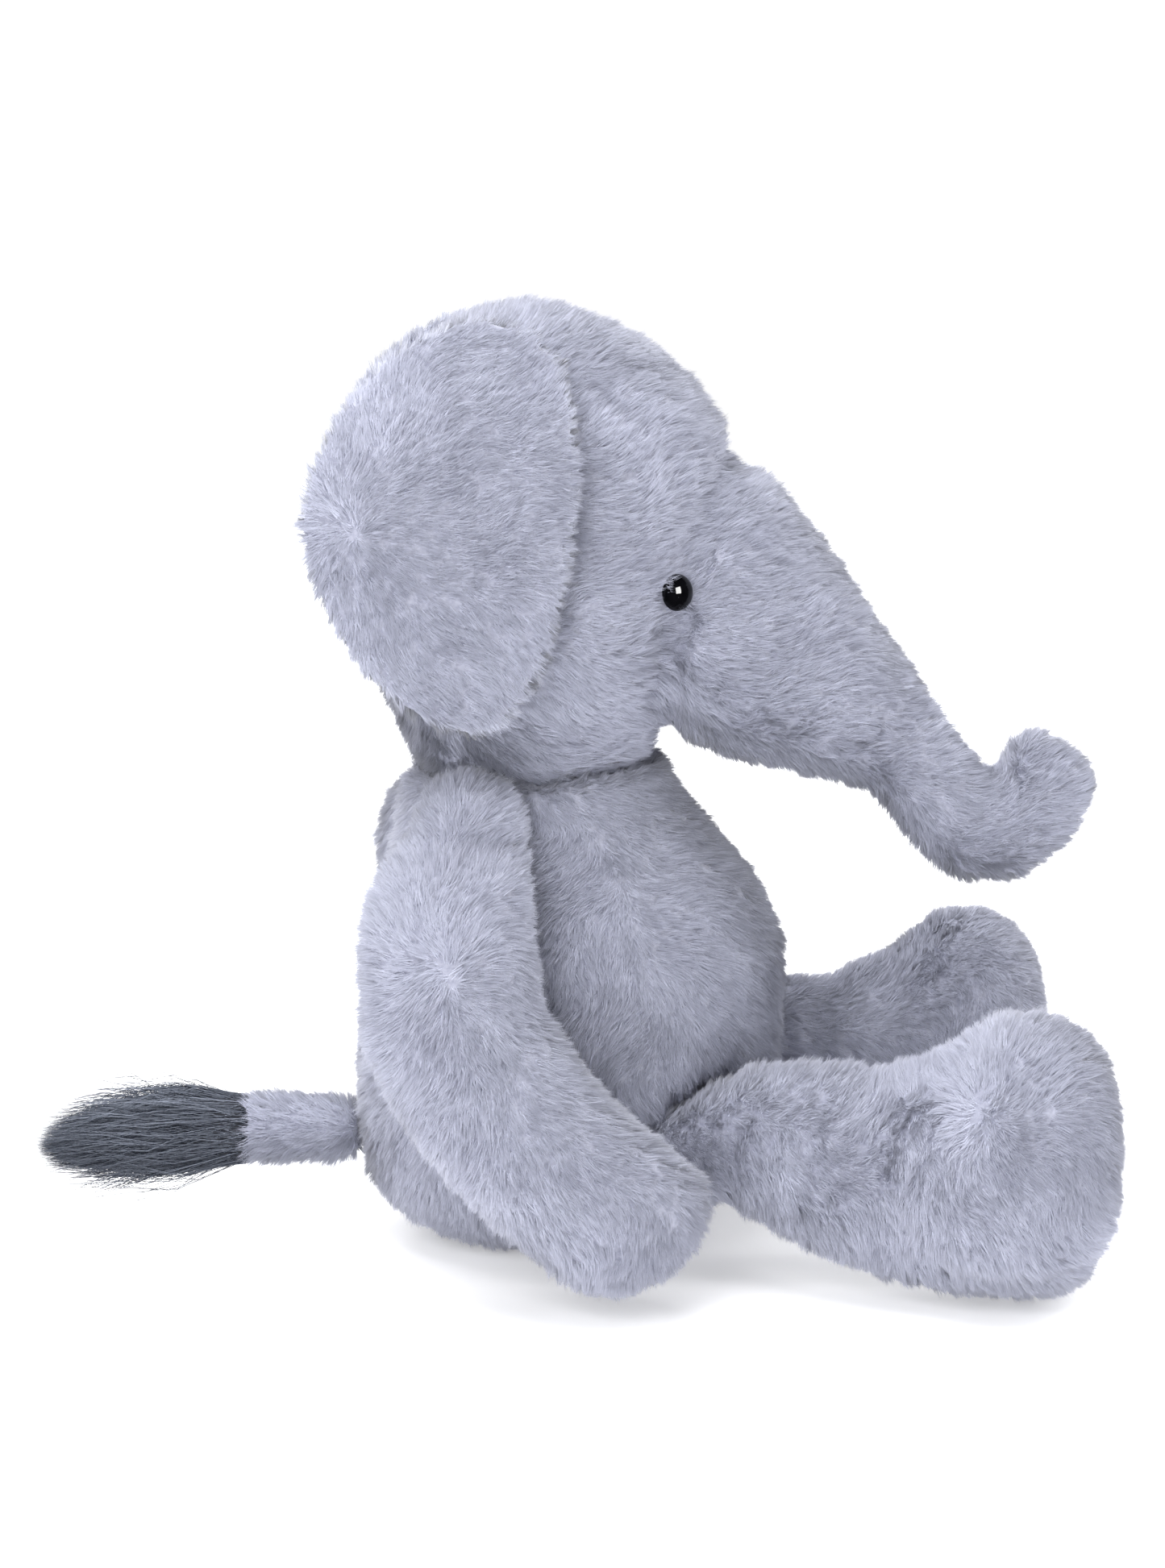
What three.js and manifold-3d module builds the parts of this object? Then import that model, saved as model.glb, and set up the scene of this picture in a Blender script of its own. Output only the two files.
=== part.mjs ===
// A soft toy elephant that sits upright with its legs out in front and its trunk curled up at the end.
//
// Every stuffed part is a cover of pile fabric around a core of loose fibre. A cover's outer surface is
// the one that the tips of its pile make. Its wall is the backing cloth and the pile together.
// The elephant faces -Y, +Z is up and +X is its left. The origin is on the floor, under the middle of it.
// Millimetres throughout. Tables give places as distances forward (along -Y), sideways (+X) and up (+Z).

import * as THREE from 'three';
import { ConvexGeometry } from 'three/addons/geometries/ConvexGeometry.js';
import { mergeVertices } from 'three/addons/utils/BufferGeometryUtils.js';
import Module from 'manifold-3d';

const wasm = await Module();
wasm.setup();

// ---------------------------------------------------------------- driving dimensions

const WALL = 6; // backing cloth and laid pile
const GAP = 0.5; // between a cover and its filling
const SEAM = 0.35; // between two sewn panels
const PLAY = 1.2; // between a limb's round root and the hollow it turns in

const AROUND_BODY = 20; // points around the torso and head
const AROUND_LIMB = 12; // points around a limb
const AROUND_TAIL = 10;
const AROUND_TRUNK = 16;
const AROUND_HIDDEN = 8; // points around openings and room that stay out of sight
const WIDE_ROOT = 30; // a round root wider than this is drawn as finely as the body
const BALL_RINGS = 0.6; // a ball's rings for each point around it
const BEYOND = 400; // past every surface

// Where each moving part turns: forward, sideways and up.
const NECK = { forward: -14, side: 0, up: 188, radius: 46 };
const SHOULDER = { forward: -33, side: 52, up: 150, radius: 21 };
const HIP = { forward: 32, side: 46, up: 40, radius: 19 };
const TAIL_ROOT = { forward: -79, side: 0, up: 37, radius: 13.2 };
const TRUNK_BEND = { forward: 105, side: 0, up: 173, radius: 22 };
const OPENING = { share: 0.45, past: 3 }; // the hole in a root: its radius against the root's, and its end
const HIP_SWEEP = { lowest: -52, highest: 12, steps: 3 }; // degrees that the torso leaves room for
const SWEEP_MARGIN = 1.15; // the swept space against the leg's own thickness
const SWEEP_REACH = 1.04; // and against its distance from the hip
const SWEPT_SLICES = 4; // the leg's first slices, which can touch the torso

// Level rings: height, front, back, half width.
const TORSO_RINGS = [
  [0, 14, -36, 19],
  [3, 24, -46, 29],
  [9, 35, -58, 38.5],
  [20, 49.5, -68.5, 49.5],
  [38, 62, -73, 60],
  [60, 69, -73, 63],
  [82, 71, -71, 63],
  [102, 71, -68, 61],
  [122, 63, -64, 57],
  [142, 46, -60, 50.5],
  [158, 33.5, -57, 45],
  [178, 27, -54, 40],
];

const NECK_ANGLES = [0.3, 0.62, 0.94, 1.26]; // of the rounded neck's rings, up from its lowest point

// The head's rounded neck, which sits in the hollow top of the torso, comes below these.
const HEAD_RINGS = [
  [190, 38, -65, 53],
  [207, 47, -70, 59.5],
  [226, 54, -73, 62],
  [244, 56.4, -73, 61],
  [260, 54.5, -71, 57.5],
  [276, 49.5, -66.5, 52],
  [290, 39, -59, 45.5],
  [301, 26, -50, 37],
  [309, 11, -40, 27],
  [314, -4, -26, 13],
];
const CROWN = { forward: -15, up: 316 };

// Slices of the tubes: forward and height of one edge, the same of the other edge, side and half thickness.
const TRUNK_SLICES = [
  [34, 264, 14, 178, 0, 41],
  [53, 267, 28, 175, 0, 48],
  [67, 256.5, 45.5, 165.5, 0, 44.5],
  [84, 235, 65, 160.5, 0, 36.5],
  [102, 208, 86, 156, 0, 27],
  [112, 195.5, 94, 153, 0, 23],
];
const TRUNK_TIP_SLICES = [
  [114, 192, 96, 154, 0, 21],
  [123, 179, 106, 141, 0, 20.5],
  [130.5, 168.5, 115.5, 130, 0, 20],
  [136.5, 161, 127, 121.5, 0, 20],
  [139.5, 160.5, 148, 122, 0, 20],
  [140.5, 163.5, 165, 135.5, 0, 20],
  [142.5, 170, 172, 149, 0, 18],
];
const ARM_SLICES = [
  [-53, 152, -13, 148, 52, 20.5],
  [-65, 139, -12, 141, 66.5, 22.5],
  [-70, 122, -10.5, 122, 76, 24.5],
  [-68, 88, -8, 100, 83.5, 25],
  [-54, 60, 5, 81, 87.5, 25.5],
  [-37, 40.5, 17, 67.5, 90, 26],
  [-24, 27.5, 30.5, 57, 90.5, 26],
  [-8, 15, 42, 47, 90.5, 24],
];
const LEG_SLICES = [
  [32, 58.5, 32, 21.5, 46, 18],
  [46, 67, 50, 26, 50, 21],
  [60, 74.5, 63, 18.5, 54, 25],
  [83, 76, 79, 11.5, 60, 30],
  [100, 78.5, 97, 7, 66, 34],
  [115, 81, 112, 4, 71, 37],
  [125, 89, 123, 1.5, 74, 40],
  [137, 97, 137, 0.3, 75, 42],
  [151, 98, 152, 0.3, 75, 42.5],
  [163, 93.5, 164, 5, 75, 40],
  [170.5, 86, 171, 15.5, 75, 34],
];
const TAIL_SLICES = [
  [-79, 49.8, -79, 24.2, 0, 12.8],
  [-95, 50.5, -95, 23.8, 0, 13.2],
  [-112, 51, -112, 23.5, 0, 13.5],
];
const TUFT_SLICES = [
  [-112.5, 51, -112.5, 22.5, 0, 14],
  [-125, 52, -125, 21, 0, 15.5],
  [-139, 49.5, -139, 20, 0, 14.5],
  [-152, 43.5, -152, 20.5, 0, 11.5],
  [-165, 34, -165, 21, 0, 6.5],
];
const TUFT_TIP = 9.75; // how far the tuft's point runs past its last slice

const PAW_LENGTH = 22; // how far the rounded paw runs past the last arm slice
const TRUNK_END = 12; // the same at the trunk's tip
const SOLE_BULGE = 4; // how far the sole stands out past the last leg slice
const SOLE_CUT = 169.5; // forward of this the foot is its sole panel
const LEG_REACH = { left: 0.93, right: 1 }; // the left leg sits drawn in towards its hip
const BAG_TOP = 27; // the bag of pellets fills the seat below this height
const BAG_FRONT = 8;
const SEAT_MIDDLE = -11; // the middle of the flat that it sits on

// The ear's outline: forward and height, clockwise from its front edge.
const EAR_OUTLINE = [
  [0.5, 262], [-7, 218], [-17, 196], [-31, 186], [-54, 195], [-73, 218],
  [-85, 252], [-72, 286], [-50, 306], [-26, 312], [-5, 300],
];
const EAR_MIDDLE = [-40, 252];
const EAR = { aside: 65.1, lean: 0.0023, leanAbove: 215, flare: 0.1, rim: 2.5, crown: 3.5, clear: 1 };
const EAR_DROP = { left: 6, right: 0 }; // the left ear hangs a little lower
const EAR_POINTS = 22;
const EAR_LOOPS = 3;

const EYE = { forward: 34.4, up: 226.7, side: 47.5, radius: 6, height: 5, sunk: 3, shank: 2.2, reach: 14 };
const EYE_AXIS = new THREE.Vector3(0.75, -0.65, 0.1).normalize();
const EYE_PLAY = 0.4; // around the eye's rim in its cover
const WASHER = { radius: 6.4, hole: 2.6, depth: 8.4, thickness: 1.6 };

const COLOURS = {
  pile: [0xb6b5c6, 0.95],
  hair: [0x3f4048, 0.8],
  fibre: [0xf2f1ec, 0.95],
  pelletCloth: [0xd9d6cc, 0.9],
  eye: [0x08080a, 0.08],
  nylon: [0xe8e8e4, 0.5],
};

// ---------------------------------------------------------------- making and joining solids

const SIDEWAYS = new THREE.Vector3(1, 0, 0);

function place(forward, side, up) {
  return new THREE.Vector3(side, -forward, up);
}

function curve(p, q, r, s, t) {
  const bend = 2 * p - 5 * q + 4 * r - s;
  const twist = 3 * q - p - 3 * r + s;
  return q + 0.5 * t * (r - p + t * (bend + t * twist));
}

// Rows of numbers drawn through the given rows as one smooth curve, with `steps` rows for each given one.
function smoothRows(rows, steps, closed = false) {
  const last = rows.length - 1;
  const row = (k) => (closed ? rows[(k + rows.length) % rows.length] : rows[Math.min(Math.max(k, 0), last)]);
  const smooth = [];
  for (let k = 0; k < (closed ? rows.length : last); k += 1) {
    for (let step = 0; step < steps; step += 1) {
      const mix = (_, column) => curve(
        row(k - 1)[column], row(k)[column], row(k + 1)[column], row(k + 2)[column], step / steps,
      );
      smooth.push(row(k).map(mix));
    }
  }
  return closed ? smooth : [...smooth, rows[last]];
}

function ellipse({ centre, across, up }, around) {
  return Array.from({ length: around }, (_, k) => {
    const angle = (k / around) * Math.PI * 2;
    return centre.clone().addScaledVector(across, Math.cos(angle)).addScaledVector(up, Math.sin(angle));
  });
}

function levelRing([height, front, back, halfWidth]) {
  return {
    centre: place((front + back) / 2, 0, height),
    across: new THREE.Vector3(halfWidth, 0, 0),
    up: new THREE.Vector3(0, (front - back) / 2, 0),
  };
}

function slice([forward, height, otherForward, otherHeight, side, half]) {
  return {
    centre: place((forward + otherForward) / 2, side, (height + otherHeight) / 2),
    across: new THREE.Vector3(half, 0, 0),
    up: place((forward - otherForward) / 2, 0, (height - otherHeight) / 2),
  };
}

// A closed surface through loops of points, from one pole to the other.
function closedSkin(loops, startPole, endPole) {
  const count = loops[0].length;
  const points = [startPole, ...loops.flat(), endPole];
  const at = (loop, k) => 1 + loop * count + (k % count);
  const index = [];
  for (let k = 0; k < count; k += 1) {
    index.push(0, at(0, k + 1), at(0, k));
    for (let loop = 0; loop < loops.length - 1; loop += 1) {
      index.push(at(loop, k), at(loop, k + 1), at(loop + 1, k + 1));
      index.push(at(loop, k), at(loop + 1, k + 1), at(loop + 1, k));
    }
    index.push(points.length - 1, at(loops.length - 1, k), at(loops.length - 1, k + 1));
  }
  let sixVolumes = 0;
  for (let t = 0; t < index.length; t += 3) {
    const [a, b, c] = index.slice(t, t + 3).map((vertex) => points[vertex]);
    sixVolumes += a.dot(b.clone().cross(c));
  }
  if (sixVolumes < 0) index.reverse();
  const geometry = new THREE.BufferGeometry();
  geometry.setAttribute('position', new THREE.Float32BufferAttribute(points.flatMap((p) => p.toArray()), 3));
  geometry.setIndex(index);
  return geometry;
}

// A body stacked from level rings, between the two points where it closes.
function stack(rows, bottom, top) {
  return closedSkin(rows.map((row) => ellipse(levelRing(row), AROUND_BODY)), bottom, top);
}

// Rings that carry a tube on from its last ring, away from the one before, into a round end.
function roundEnd(last, before, length, steps) {
  const out = last.across.clone().cross(last.up).normalize();
  if (out.dot(last.centre.clone().sub(before.centre)) < 0) out.negate();
  return Array.from({ length: steps }, (_, step) => {
    const angle = ((step + 1) / steps) * (Math.PI / 2);
    return {
      centre: last.centre.clone().addScaledVector(out, length * Math.sin(angle)),
      across: last.across.clone().multiplyScalar(Math.cos(angle)),
      up: last.up.clone().multiplyScalar(Math.cos(angle)),
    };
  });
}

// A tube through its slices, with a round end of the given length at each end. Length 0 leaves it flat.
function tube(slices, around, startLength, endLength, steps = 3) {
  const rings = slices.map(slice);
  const start = startLength > 0 ? roundEnd(rings[0], rings[1], startLength, steps).reverse() : [rings[0]];
  const end = endLength > 0 ? roundEnd(rings.at(-1), rings.at(-2), endLength, steps) : [rings.at(-1)];
  const startBody = startLength > 0 ? [...start.slice(1), rings[0]] : start;
  const endBody = endLength > 0 ? [rings.at(-1), ...end.slice(0, -1)] : end;
  const loops = [...startBody, ...rings.slice(1, -1), ...endBody].map((ring) => ellipse(ring, around));
  return closedSkin(loops, start[0].centre, end.at(-1).centre);
}

// The same surface moved inwards along its normals, or outwards where depth is negative.
function shrunk(geometry, depth) {
  const inner = geometry.clone();
  inner.computeVertexNormals();
  const position = inner.getAttribute('position');
  const normal = inner.getAttribute('normal');
  for (let k = 0; k < position.count; k += 1) {
    position.setXYZ(
      k,
      position.getX(k) - normal.getX(k) * depth,
      position.getY(k) - normal.getY(k) * depth,
      position.getZ(k) - normal.getZ(k) * depth,
    );
  }
  inner.deleteAttribute('normal');
  return inner;
}

function solid(geometry) {
  const bare = geometry.clone();
  bare.deleteAttribute('normal');
  bare.deleteAttribute('uv');
  const merged = mergeVertices(bare);
  return new wasm.Manifold(new wasm.Mesh({
    numProp: 3,
    vertProperties: new Float32Array(merged.getAttribute('position').array),
    triVerts: new Uint32Array(merged.index.array),
  }));
}

// The whole less the cuts. What a cut leaves behind as crumbs is dropped.
function without(whole, cuts) {
  const left = cuts.reduce((rest, cut) => rest.subtract(cut), whole);
  return left.decompose().reduce((big, piece) => (piece.volume() > big.volume() ? piece : big));
}

function ball({ forward, side, up, radius }, extra = 0, mirror = 1) {
  const around = radius > WIDE_ROOT ? AROUND_BODY : AROUND_LIMB;
  const sphere = new THREE.SphereGeometry(radius + extra, around, Math.floor(around * BALL_RINGS));
  sphere.translate(...place(forward, side * mirror, up).toArray());
  return solid(sphere);
}

// A box between two corners given as forward, side and up.
function block(low, high) {
  const box = new THREE.Box3().setFromPoints([place(...low), place(...high)]);
  const size = box.getSize(new THREE.Vector3());
  const middle = box.getCenter(new THREE.Vector3());
  return solid(new THREE.BoxGeometry(size.x, size.y, size.z).translate(middle.x, middle.y, middle.z));
}

// A round body drawn as radius and height pairs, standing on `from` along `axis`.
function turned(profile, from, axis, around = 12) {
  const outline = profile.map(([radius, height]) => new THREE.Vector2(radius, height));
  const lathe = new THREE.LatheGeometry(outline, around);
  lathe.applyQuaternion(new THREE.Quaternion().setFromUnitVectors(new THREE.Vector3(0, 1, 0), axis));
  lathe.translate(from.x, from.y, from.z);
  return solid(lathe);
}

// The outside, the hollow and the filling of a stuffed part.
function stuffed(geometry) {
  return {
    outside: solid(geometry),
    hollow: solid(shrunk(geometry, WALL)),
    filling: solid(shrunk(geometry, WALL + GAP)),
  };
}

// A hole through a limb's root, where its cover is open inside the body.
function rootOpening(root, towards, mirror = 1) {
  const from = place(root.forward, root.side * mirror, root.up);
  const radius = root.radius * OPENING.share;
  const length = root.radius + OPENING.past;
  return turned([[0, 0], [radius, 0], [radius, length], [0, length]], from, towards, AROUND_HIDDEN);
}

// ---------------------------------------------------------------- the whole surfaces

function neckRings() {
  return NECK_ANGLES.map((angle) => {
    const reach = NECK.radius * Math.sin(angle);
    return [NECK.up - NECK.radius * Math.cos(angle), NECK.forward + reach, NECK.forward - reach, reach];
  });
}

const [torsoTop] = TORSO_RINGS.at(-1);
const torsoSurface = stack(TORSO_RINGS, place(SEAT_MIDDLE, 0, 0), place(NECK.forward, 0, torsoTop));
const headBottom = place(NECK.forward, 0, NECK.up - NECK.radius);
const headSurface = stack([...neckRings(), ...HEAD_RINGS], headBottom, place(CROWN.forward, 0, CROWN.up));
const trunkSurface = tube(TRUNK_SLICES, AROUND_TRUNK, 0, 0);
const trunkTipSurface = tube(TRUNK_TIP_SLICES, AROUND_LIMB, TRUNK_BEND.radius, TRUNK_END);

function mirrored(rows, mirror) {
  return rows.map(([a, b, c, d, side, half]) => [a, b, c, d, side * mirror, half]);
}

function reached(forward, mirror) {
  return HIP.forward + (forward - HIP.forward) * LEG_REACH[sideName(mirror)];
}

function legSlices(mirror) {
  return mirrored(LEG_SLICES, mirror).map(([forward, height, otherForward, ...rest]) => (
    [reached(forward, mirror), height, reached(otherForward, mirror), ...rest]
  ));
}

// The space that a leg's upper end sweeps as it swings, so that the torso can leave room for it.
function legSweep(mirror) {
  const slices = legSlices(mirror).slice(0, SWEPT_SLICES);
  const grown = slices.map(slice).flatMap(({ centre, across, up }) => ellipse({
    centre,
    across: across.clone().multiplyScalar(SWEEP_MARGIN),
    up: up.clone().multiplyScalar(SWEEP_MARGIN),
  }, AROUND_HIDDEN));
  const hip = place(HIP.forward, HIP.side * mirror, HIP.up);
  const { lowest, highest, steps } = HIP_SWEEP;
  const swept = [];
  for (let step = 0; step <= steps; step += 1) {
    const angle = THREE.MathUtils.degToRad(lowest + ((highest - lowest) * step) / steps);
    const swung = (point) => point.clone().sub(hip).applyAxisAngle(SIDEWAYS, -angle);
    swept.push(...grown.map((point) => swung(point).multiplyScalar(SWEEP_REACH).add(hip)));
  }
  return solid(new ConvexGeometry(swept)).add(ball(HIP, PLAY, mirror));
}

// ---------------------------------------------------------------- the named parts

const elephant = new THREE.Group();

function addPart(name, body, [color, roughness]) {
  const { vertProperties, triVerts } = body.getMesh();
  const geometry = new THREE.BufferGeometry();
  geometry.setAttribute('position', new THREE.BufferAttribute(new Float32Array(vertProperties), 3));
  geometry.setIndex(new THREE.BufferAttribute(new Uint32Array(triVerts), 1));
  const mesh = new THREE.Mesh(geometry, new THREE.MeshStandardMaterial({ color, roughness, metalness: 0 }));
  mesh.name = name;
  elephant.add(mesh);
}

function sideName(mirror) {
  return mirror > 0 ? 'left' : 'right';
}

function eyeAxis(mirror) {
  return new THREE.Vector3(EYE_AXIS.x * mirror, EYE_AXIS.y, EYE_AXIS.z);
}

// Where the eye's flat back rests, measured down from the tips of the pile.
function eyeSeat(mirror, depth) {
  return place(EYE.forward, EYE.side * mirror, EYE.up).addScaledVector(eyeAxis(mirror), -depth);
}

function eyeHole(mirror) {
  const wide = EYE.radius + EYE_PLAY;
  const narrow = WASHER.hole;
  const profile = [[0, -8], [narrow, -8], [narrow, -0.2], [wide, -0.2], [wide, 12], [0, 12]];
  return turned(profile, eyeSeat(mirror, EYE.sunk), eyeAxis(mirror));
}

function washerRoom(mirror) {
  const wide = WASHER.radius + GAP;
  const narrow = EYE.shank + 0.6;
  const top = WASHER.thickness + GAP;
  const profile = [
    [0, -9], [narrow, -9], [narrow, -0.5], [wide, -0.5], [wide, top], [narrow, top], [narrow, 20], [0, 20],
  ];
  return turned(profile, eyeSeat(mirror, WASHER.depth + WASHER.thickness), eyeAxis(mirror));
}

function buildTorso() {
  const torso = stuffed(torsoSurface);
  const sockets = [
    ball(NECK, PLAY), ball(TAIL_ROOT, PLAY),
    ball(SHOULDER, PLAY, 1), ball(SHOULDER, PLAY, -1),
    legSweep(1), legSweep(-1),
  ];
  const bagSpace = block([-BEYOND, -BEYOND, -BEYOND], [BAG_FRONT, BEYOND, BAG_TOP]);
  const bagClearance = block([-BEYOND, -BEYOND, -BEYOND], [BAG_FRONT + GAP, BEYOND, BAG_TOP + GAP]);
  addPart('torso_cover', without(torso.outside, [torso.hollow, ...sockets]), COLOURS.pile);
  addPart('torso_stuffing', without(torso.filling, [...sockets, bagClearance]), COLOURS.fibre);
  addPart('pellet_bag', without(torso.filling.intersect(bagSpace), sockets), COLOURS.pelletCloth);
}

function buildHeadAndTrunk() {
  const head = stuffed(headSurface);
  const trunk = stuffed(trunkSurface);
  const headGrown = solid(shrunk(headSurface, -SEAM));
  const trunkEnd = ball(TRUNK_BEND, PLAY);
  const neckHole = rootOpening(NECK, new THREE.Vector3(0, 0, -1));
  const rooms = [washerRoom(1), washerRoom(-1)];
  const holes = [eyeHole(1), eyeHole(-1), ...rooms];
  const headCuts = [head.hollow, trunk.hollow, neckHole, ...holes];
  const trunkCuts = [trunk.hollow, headGrown, trunkEnd, ...holes];
  addPart('head_cover', without(head.outside, headCuts), COLOURS.pile);
  addPart('head_stuffing', without(head.filling, rooms), COLOURS.fibre);
  addPart('trunk_cover', without(trunk.outside, trunkCuts), COLOURS.pile);
  addPart('trunk_stuffing', without(trunk.filling, [head.hollow, trunkEnd, ...rooms]), COLOURS.fibre);
}

function buildTrunkTip() {
  const tip = stuffed(trunkTipSurface);
  const opening = rootOpening(TRUNK_BEND, place(-0.6, 0, 0.8).normalize());
  addPart('trunk_tip_cover', without(tip.outside, [tip.hollow, opening]), COLOURS.pile);
  addPart('trunk_tip_stuffing', tip.filling, COLOURS.fibre);
}

function buildEye(mirror) {
  const { radius, height, sunk, shank, reach } = EYE;
  const dome = Array.from({ length: 5 }, (_, k) => {
    const angle = (k / 5) * (Math.PI / 2);
    return [radius * Math.cos(angle), 0.8 + (height - 0.8) * Math.sin(angle)];
  });
  const stem = [[0, sunk - reach], [shank, sunk - reach], [shank, 0]];
  const profile = [...stem, [radius, 0], ...dome, [0, height]];
  addPart(`eye_${sideName(mirror)}`, turned(profile, eyeSeat(mirror, sunk), eyeAxis(mirror)), COLOURS.eye);
  const { hole, thickness, depth } = WASHER;
  const ring = [[hole, 0], [WASHER.radius, 0], [WASHER.radius, thickness], [hole, thickness], [hole, 0]];
  const washer = turned(ring, eyeSeat(mirror, depth + thickness), eyeAxis(mirror));
  addPart(`eye_washer_${sideName(mirror)}`, washer, COLOURS.nylon);
}

// Half of the head's width at a place on its side, or 0 past its edge.
function headHalfWidth(forward, height) {
  const rows = smoothRows(HEAD_RINGS, 6);
  const row = rows.find(([z]) => z >= height) ?? [0, CROWN.forward, CROWN.forward, 0];
  const [, front, back, half] = row;
  const along = (forward - (front + back) / 2) / Math.max((front - back) / 2, 1);
  return half * Math.sqrt(Math.max(0, 1 - along * along));
}

// How far out the middle of the ear lies: it hangs beside the head, and rests on it where they meet.
function earSide(forward, height) {
  const lean = EAR.lean * Math.max(0, height - EAR.leanAbove) ** 2;
  const hanging = EAR.aside - lean - EAR.flare * forward;
  const resting = headHalfWidth(forward, height) + EAR.rim + EAR.crown + EAR.clear;
  return Math.max(hanging, resting);
}

function earLayer(mirror, outward) {
  const outline = smoothRows(EAR_OUTLINE, EAR_POINTS / EAR_OUTLINE.length, true);
  const point = ([forward, height], share) => {
    const f = THREE.MathUtils.lerp(EAR_MIDDLE[0], forward, share);
    const z = THREE.MathUtils.lerp(EAR_MIDDLE[1], height, share) - EAR_DROP[sideName(mirror)];
    return [f, z, earSide(f, z)];
  };
  const lifted = (row, share, thickness) => {
    const [f, z, side] = point(row, share);
    return place(f, mirror * (side + outward * thickness), z);
  };
  const shares = Array.from({ length: EAR_LOOPS }, (_, k) => (k + 1) / EAR_LOOPS);
  const face = (share) => SEAM / 2 + EAR.rim + EAR.crown * Math.sqrt(1 - share ** 4);
  const inner = shares.map((share) => outline.map((row) => lifted(row, share, SEAM / 2)));
  const outer = shares.toReversed().map((share) => outline.map((row) => lifted(row, share, face(share))));
  const pole = (thickness) => lifted(EAR_MIDDLE, 0, thickness);
  return solid(closedSkin([...inner, ...outer], pole(SEAM / 2), pole(face(0))));
}

function buildEar(mirror) {
  addPart(`ear_back_${sideName(mirror)}`, earLayer(mirror, 1), COLOURS.pile);
  addPart(`ear_front_${sideName(mirror)}`, earLayer(mirror, -1), COLOURS.pile);
}

function buildArm(mirror) {
  const arm = stuffed(tube(mirrored(ARM_SLICES, mirror), AROUND_LIMB, SHOULDER.radius, PAW_LENGTH));
  const opening = rootOpening(SHOULDER, place(0, -mirror, 0), mirror);
  addPart(`arm_cover_${sideName(mirror)}`, without(arm.outside, [arm.hollow, opening]), COLOURS.pile);
  addPart(`arm_stuffing_${sideName(mirror)}`, arm.filling, COLOURS.fibre);
}

function buildLeg(mirror) {
  const leg = stuffed(tube(legSlices(mirror), AROUND_LIMB, HIP.radius, SOLE_BULGE));
  const opening = rootOpening(HIP, place(-1, 0, 0), mirror);
  const cut = reached(SOLE_CUT, mirror);
  const toes = (from) => block([from, -BEYOND, -BEYOND], [BEYOND, BEYOND, BEYOND]);
  const cover = without(leg.outside, [leg.hollow, opening, toes(cut - SEAM)]);
  addPart(`leg_cover_${sideName(mirror)}`, cover, COLOURS.pile);
  addPart(`leg_stuffing_${sideName(mirror)}`, without(leg.filling, [toes(cut - GAP)]), COLOURS.fibre);
  addPart(`foot_sole_${sideName(mirror)}`, leg.outside.intersect(toes(cut)), COLOURS.pile);
}

function buildTail() {
  const tail = stuffed(tube(TAIL_SLICES, AROUND_TAIL, TAIL_ROOT.radius, 0));
  const opening = rootOpening(TAIL_ROOT, place(1, 0, 0));
  addPart('tail_cover', without(tail.outside, [tail.hollow, opening]), COLOURS.pile);
  addPart('tail_stuffing', tail.filling, COLOURS.fibre);
  addPart('tail_tuft', solid(tube(TUFT_SLICES, AROUND_TAIL, 0, TUFT_TIP)), COLOURS.hair);
}

buildTorso();
buildHeadAndTrunk();
buildTrunkTip();
buildTail();
for (const mirror of [1, -1]) {
  buildEye(mirror);
  buildEar(mirror);
  buildArm(mirror);
  buildLeg(mirror);
}

export default elephant;
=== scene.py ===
import math

import bpy
import numpy as np
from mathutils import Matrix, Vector
from mathutils.bvhtree import BVHTree


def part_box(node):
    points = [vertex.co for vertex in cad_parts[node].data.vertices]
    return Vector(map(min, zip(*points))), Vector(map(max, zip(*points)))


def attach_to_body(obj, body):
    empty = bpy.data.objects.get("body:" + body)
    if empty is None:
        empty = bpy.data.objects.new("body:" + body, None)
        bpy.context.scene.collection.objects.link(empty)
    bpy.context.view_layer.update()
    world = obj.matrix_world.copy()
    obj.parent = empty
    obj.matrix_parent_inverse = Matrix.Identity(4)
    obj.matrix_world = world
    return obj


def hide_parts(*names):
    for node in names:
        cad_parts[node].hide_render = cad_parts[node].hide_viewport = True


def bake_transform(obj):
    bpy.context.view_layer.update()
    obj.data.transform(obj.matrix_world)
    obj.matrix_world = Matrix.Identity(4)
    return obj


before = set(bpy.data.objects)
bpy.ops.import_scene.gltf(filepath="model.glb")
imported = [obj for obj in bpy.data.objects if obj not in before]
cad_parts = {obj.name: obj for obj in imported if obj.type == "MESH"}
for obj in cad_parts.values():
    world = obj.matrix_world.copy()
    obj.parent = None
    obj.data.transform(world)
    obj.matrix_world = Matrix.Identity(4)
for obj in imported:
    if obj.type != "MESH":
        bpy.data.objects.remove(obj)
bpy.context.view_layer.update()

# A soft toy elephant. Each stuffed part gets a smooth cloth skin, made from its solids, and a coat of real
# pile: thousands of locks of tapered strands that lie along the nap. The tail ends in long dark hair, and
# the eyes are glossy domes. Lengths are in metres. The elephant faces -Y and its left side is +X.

SEED = 7
FLOOR_CLEAR = 0.0003  # no skin or strand goes below this height

# Skins
VOXEL = 0.0024
EAR_VOXEL = 0.0018
SKIN_SMOOTH = 7  # rounds of smoothing
EAR_SMOOTH = 3
TUFT_SMOOTH = 6
SKIN_DEPTH = 0.0026  # of a skin below the tips of its pile
EAR_DEPTH = 0.001
TUFT_DEPTH = 0.0024
OVER_FILLING = 0.0038  # of a skin above the filling that it is made from
FILLING_CLEAR = 0.0014  # between a skin and the filling inside it
FILLING_REACH = 0.0035  # a skin this near to its filling is looked at
EAR_FIT = np.array((1, 1.015, 1.02))  # makes up for what smoothing takes off an ear's rim
TUFT_RUN_ON = 1.07  # stretches the tuft's core into the end of the tail
TUFT_DRAW_IN = 0.4  # share of its thickness that the core loses at its end

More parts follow.
